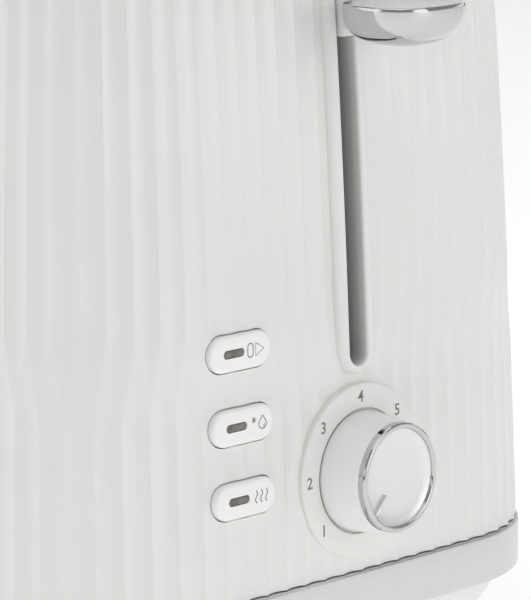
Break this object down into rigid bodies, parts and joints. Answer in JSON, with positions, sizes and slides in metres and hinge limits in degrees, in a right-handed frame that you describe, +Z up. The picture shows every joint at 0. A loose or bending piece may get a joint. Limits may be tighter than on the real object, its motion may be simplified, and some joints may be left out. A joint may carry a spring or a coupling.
{
  "type": "pop up toaster",
  "caption": "Two-slot pop-up toaster with a fluted white casing, satin silver foot band, chrome lever, browning dial and pill buttons on one end.",
  "frame": {"origin": "on the table, under the middle of the whole toaster with its lever", "axes": "+X towards the lever end, +Y across the slots, +Z up"},
  "size_m": [0.319, 0.1792, 0.195],
  "materials": {
    "casing_white": "satin gloss moulded plastic, warm white",
    "knob_white": "smooth gloss moulded plastic, warm white",
    "base_white": "satin moulded plastic, white",
    "brushed_top": "brushed along the slots",
    "satin_band": "satin silver",
    "chrome": "polished chrome",
    "lever_grey": "light grey moulded plastic",
    "spun_cap": "fine spun brushing",
    "zinc_steel": "zinc plated sheet and rod",
    "reflector_steel": "bright reflector sheet",
    "guard_wire": "drawn wire",
    "mica": "layered mica board",
    "resistance_wire": "oxidised flat resistance wire",
    "copper_wire": "enamelled copper winding",
    "smoked_window": "smoked clear plastic",
    "dark_plastic": "black moulded plastic",
    "board_green": "solder masked circuit board",
    "foot_rubber": "grey rubber"
  },
  "bodies": {
    "toaster_body": {"body_shell": "casing_white", "lever_surround": "casing_white", "top_plate": "brushed_top", "trim_band": "satin_band", "base_pan": "base_white", "cord_gland": "dark_plastic", "base_screw_1": "zinc_steel", "base_screw_2": "zinc_steel", "base_screw_3": "zinc_steel", "base_screw_4": "zinc_steel", "foot_1": "foot_rubber", "foot_2": "foot_rubber", "foot_3": "foot_rubber", "foot_4": "foot_rubber", "magnet_yoke": "zinc_steel", "magnet_coil": "copper_wire", "guide_rod_left": "zinc_steel", "guide_rod_right": "zinc_steel", "lift_spring": "zinc_steel", "chassis_front": "zinc_steel", "chassis_rear": "zinc_steel", "shield_left": "reflector_steel", "shield_right": "reflector_steel", "heater_card_left": "mica", "heater_card_centre": "mica", "heater_card_right": "mica", "heating_element_left": "resistance_wire", "heating_element_centre_left": "resistance_wire", "heating_element_centre_right": "resistance_wire", "heating_element_right": "resistance_wire", "dial_scale": "casing_white", "rotary_control": "dark_plastic", "switch_cancel": "dark_plastic", "switch_defrost": "dark_plastic", "switch_reheat": "dark_plastic", "control_board": "board_green"},
    "lever_carriage": {"lever_knob": "chrome", "lever_arm": "lever_grey", "carriage": "zinc_steel", "rack_left": "zinc_steel", "rack_right": "zinc_steel", "latch_plate": "zinc_steel"},
    "left_outer_guard": {"guard_left_outer": "guard_wire"},
    "left_inner_guard": {"guard_left_inner": "guard_wire"},
    "right_inner_guard": {"guard_right_inner": "guard_wire"},
    "right_outer_guard": {"guard_right_outer": "guard_wire"},
    "dial": {"dial_knob": "knob_white", "dial_ring": "chrome", "dial_cap": "spun_cap", "dial_spindle": "zinc_steel"},
    "cancel_button": {"button_cancel": "knob_white", "window_cancel": "smoked_window"},
    "defrost_button": {"button_defrost": "knob_white", "window_defrost": "smoked_window"},
    "reheat_button": {"button_reheat": "knob_white", "window_reheat": "smoked_window"},
    "tray": {"crumb_tray": "base_white"}
  },
  "joints": [
    {"name": "lever_down", "type": "slide", "parent": "toaster_body", "child": "lever_carriage", "axis": [0, 0, -1], "range_m": [0, 0.078], "stiffness_N_per_m": 60, "springref_m": -0.08, "deforming": ["lift_spring"]},
    {"name": "left_outer_guard_close", "type": "slide", "parent": "toaster_body", "child": "left_outer_guard", "axis": [0, 1, 0], "range_m": [0, 0.004]},
    {"name": "left_inner_guard_close", "type": "slide", "parent": "toaster_body", "child": "left_inner_guard", "axis": [0, -1, 0], "range_m": [0, 0.004]},
    {"name": "right_inner_guard_close", "type": "slide", "parent": "toaster_body", "child": "right_inner_guard", "axis": [0, 1, 0], "range_m": [0, 0.004]},
    {"name": "right_outer_guard_close", "type": "slide", "parent": "toaster_body", "child": "right_outer_guard", "axis": [0, -1, 0], "range_m": [0, 0.004]},
    {"name": "dial_turn", "type": "hinge", "parent": "toaster_body", "child": "dial", "pos_m": [0.138, 0, 0.0552], "axis": [-1, 0, 0], "range_deg": [0, 180]},
    {"name": "cancel_press", "type": "slide", "parent": "toaster_body", "child": "cancel_button", "axis": [-1, 0, 0], "range_m": [0, 0.0015], "stiffness_N_per_m": 400, "springref_m": -0.001},
    {"name": "defrost_press", "type": "slide", "parent": "toaster_body", "child": "defrost_button", "axis": [-1, 0, 0], "range_m": [0, 0.0015], "stiffness_N_per_m": 400, "springref_m": -0.001},
    {"name": "reheat_press", "type": "slide", "parent": "toaster_body", "child": "reheat_button", "axis": [-1, 0, 0], "range_m": [0, 0.0015], "stiffness_N_per_m": 400, "springref_m": -0.001},
    {"name": "tray_pull", "type": "slide", "parent": "toaster_body", "child": "tray", "axis": [-1, 0, 0], "range_m": [0, 0.19]}
  ],
  "couplings": [
    {"joint": "left_outer_guard_close", "follows": "lever_down", "ratio": 0.05},
    {"joint": "left_inner_guard_close", "follows": "lever_down", "ratio": 0.05},
    {"joint": "right_inner_guard_close", "follows": "lever_down", "ratio": 0.05},
    {"joint": "right_outer_guard_close", "follows": "lever_down", "ratio": 0.05}
  ]
}
